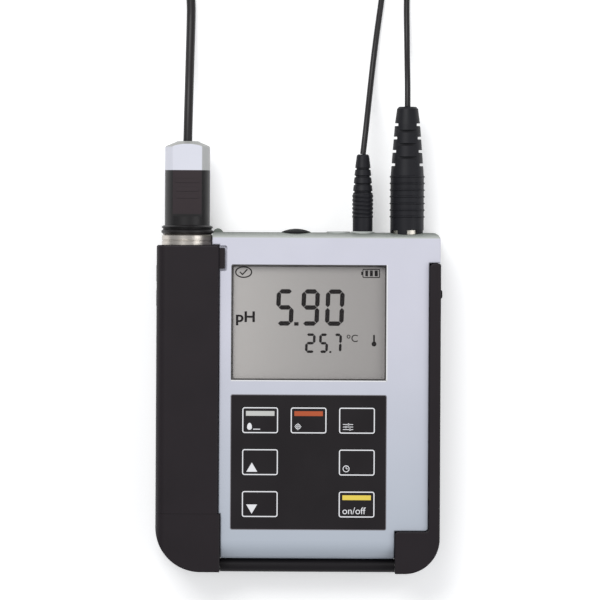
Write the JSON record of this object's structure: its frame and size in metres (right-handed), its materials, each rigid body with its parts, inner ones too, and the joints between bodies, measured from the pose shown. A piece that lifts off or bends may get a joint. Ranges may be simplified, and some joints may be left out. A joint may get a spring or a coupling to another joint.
{
  "type": "portable pH meter",
  "caption": "Hand-held pH meter lying on its folded-back cover, with a display, a membrane keypad and a cabled electrode kept in a quiver at its side",
  "frame": {"origin": "On the resting face, the underside of the folded-back cover, under the middle of the meter's body", "axes": "+X to the right of the display, +Y up the display towards the sockets, +Z out of the display"},
  "size_m": [0.1314, 0.3243, 0.03],
  "materials": {
    "front_plastic": "satin",
    "rear_plastic": "satin",
    "gasket_rubber": "matt",
    "screw_steel": "satin",
    "display_pane": "clear",
    "lcd": "matt",
    "frame_plastic": "matt",
    "keypad_film": "satin",
    "dome_steel": "satin",
    "board": "satin",
    "cells": "gloss",
    "guard_black": "satin",
    "liner_plastic": "satin",
    "ring_steel": "brushed",
    "socket_nickel": "plated",
    "socket_plastic": "satin",
    "cap_rubber": "satin",
    "probe_light": "satin",
    "probe_black": "satin",
    "probe_body": "gloss",
    "bulb_glass": "clear",
    "boot_rubber": "satin",
    "cable_rubber": "satin"
  },
  "bodies": {
    "housing": {"front_shell": "front_plastic", "rear_shell": "rear_plastic", "housing_gasket": "gasket_rubber", "housing_screws": "screw_steel", "display_pane": "display_pane", "lcd_glass": "lcd", "lcd_frame": "frame_plastic", "keypad_panel": "keypad_film", "key_domes": "dome_steel", "circuit_board": "board", "batteries": "cells", "battery_contacts": "dome_steel", "battery_door": "rear_plastic", "door_seal": "gasket_rubber", "door_screws": "screw_steel", "hook_pin": "screw_steel", "left_corner_block": "guard_black", "right_bumper": "guard_black", "quiver_sleeve": "guard_black", "quiver_liner": "liner_plastic", "quiver_ring": "ring_steel", "quiver_catch": "guard_black", "spine_pins": "screw_steel", "ph_socket": "socket_nickel", "ph_socket_core": "socket_plastic", "temp_sockets": "socket_plastic", "cap_socket": "socket_plastic"},
    "spine": {"cover_spine": "guard_black", "cover_pin": "screw_steel"},
    "cover": {"cover_panel": "guard_black"},
    "hook": {"hang_hook": "guard_black"},
    "dust_cap": {"dust_cap": "cap_rubber"},
    "sensor_set": {"probe_cap": "probe_light", "probe_grip": "probe_black", "probe_seal": "gasket_rubber", "probe_shaft": "probe_body", "probe_bulb": "bulb_glass", "ph_plug_boot": "boot_rubber", "ph_plug_collar": "socket_nickel", "temp_plug_boot": "boot_rubber", "temp_plug_pin": "socket_nickel", "cable_splitter": "boot_rubber", "main_cable": "cable_rubber", "main_cable_tail": "cable_rubber", "main_cable_coil": "cable_rubber", "ph_lead": "cable_rubber", "temp_lead": "cable_rubber"},
    "key_measure": {"key_measure": "keypad_film"},
    "key_calibrate": {"key_calibrate": "keypad_film"},
    "key_settings": {"key_settings": "keypad_film"},
    "key_up": {"key_up": "keypad_film"},
    "key_time": {"key_time": "keypad_film"},
    "key_down": {"key_down": "keypad_film"},
    "key_power": {"key_power": "keypad_film"}
  },
  "joints": [
    {"name": "spine_hinge", "type": "hinge", "parent": "housing", "child": "spine", "pos_m": [0, -0.0744, 0.0171], "axis": [-1, 0, 0], "range_deg": [0, 180]},
    {"name": "cover_hinge", "type": "hinge", "parent": "spine", "child": "cover", "pos_m": [0, -0.0744, 0.002], "axis": [-1, 0, 0], "range_deg": [0, 180]},
    {"name": "hook_hinge", "type": "hinge", "parent": "housing", "child": "hook", "pos_m": [0.004, 0.0725, 0.0044], "axis": [1, 0, 0], "range_deg": [0, 180]},
    {"name": "dust_cap_pull", "type": "slide", "parent": "housing", "child": "dust_cap", "axis": [0, 1, 0], "range_m": [0, 0.012]},
    {"name": "electrode_draw", "type": "slide", "parent": "housing", "child": "sensor_set", "axis": [0, 1, 0], "range_m": [0, 0.12]},
    {"name": "key_measure_press", "type": "slide", "parent": "housing", "child": "key_measure", "axis": [0, 0, -1], "range_m": [0, 0.0005], "stiffness_N_per_m": 3000},
    {"name": "key_calibrate_press", "type": "slide", "parent": "housing", "child": "key_calibrate", "axis": [0, 0, -1], "range_m": [0, 0.0005], "stiffness_N_per_m": 3000},
    {"name": "key_settings_press", "type": "slide", "parent": "housing", "child": "key_settings", "axis": [0, 0, -1], "range_m": [0, 0.0005], "stiffness_N_per_m": 3000},
    {"name": "key_up_press", "type": "slide", "parent": "housing", "child": "key_up", "axis": [0, 0, -1], "range_m": [0, 0.0005], "stiffness_N_per_m": 3000},
    {"name": "key_time_press", "type": "slide", "parent": "housing", "child": "key_time", "axis": [0, 0, -1], "range_m": [0, 0.0005], "stiffness_N_per_m": 3000},
    {"name": "key_down_press", "type": "slide", "parent": "housing", "child": "key_down", "axis": [0, 0, -1], "range_m": [0, 0.0005], "stiffness_N_per_m": 3000},
    {"name": "key_power_press", "type": "slide", "parent": "housing", "child": "key_power", "axis": [0, 0, -1], "range_m": [0, 0.0005], "stiffness_N_per_m": 3000}
  ]
}
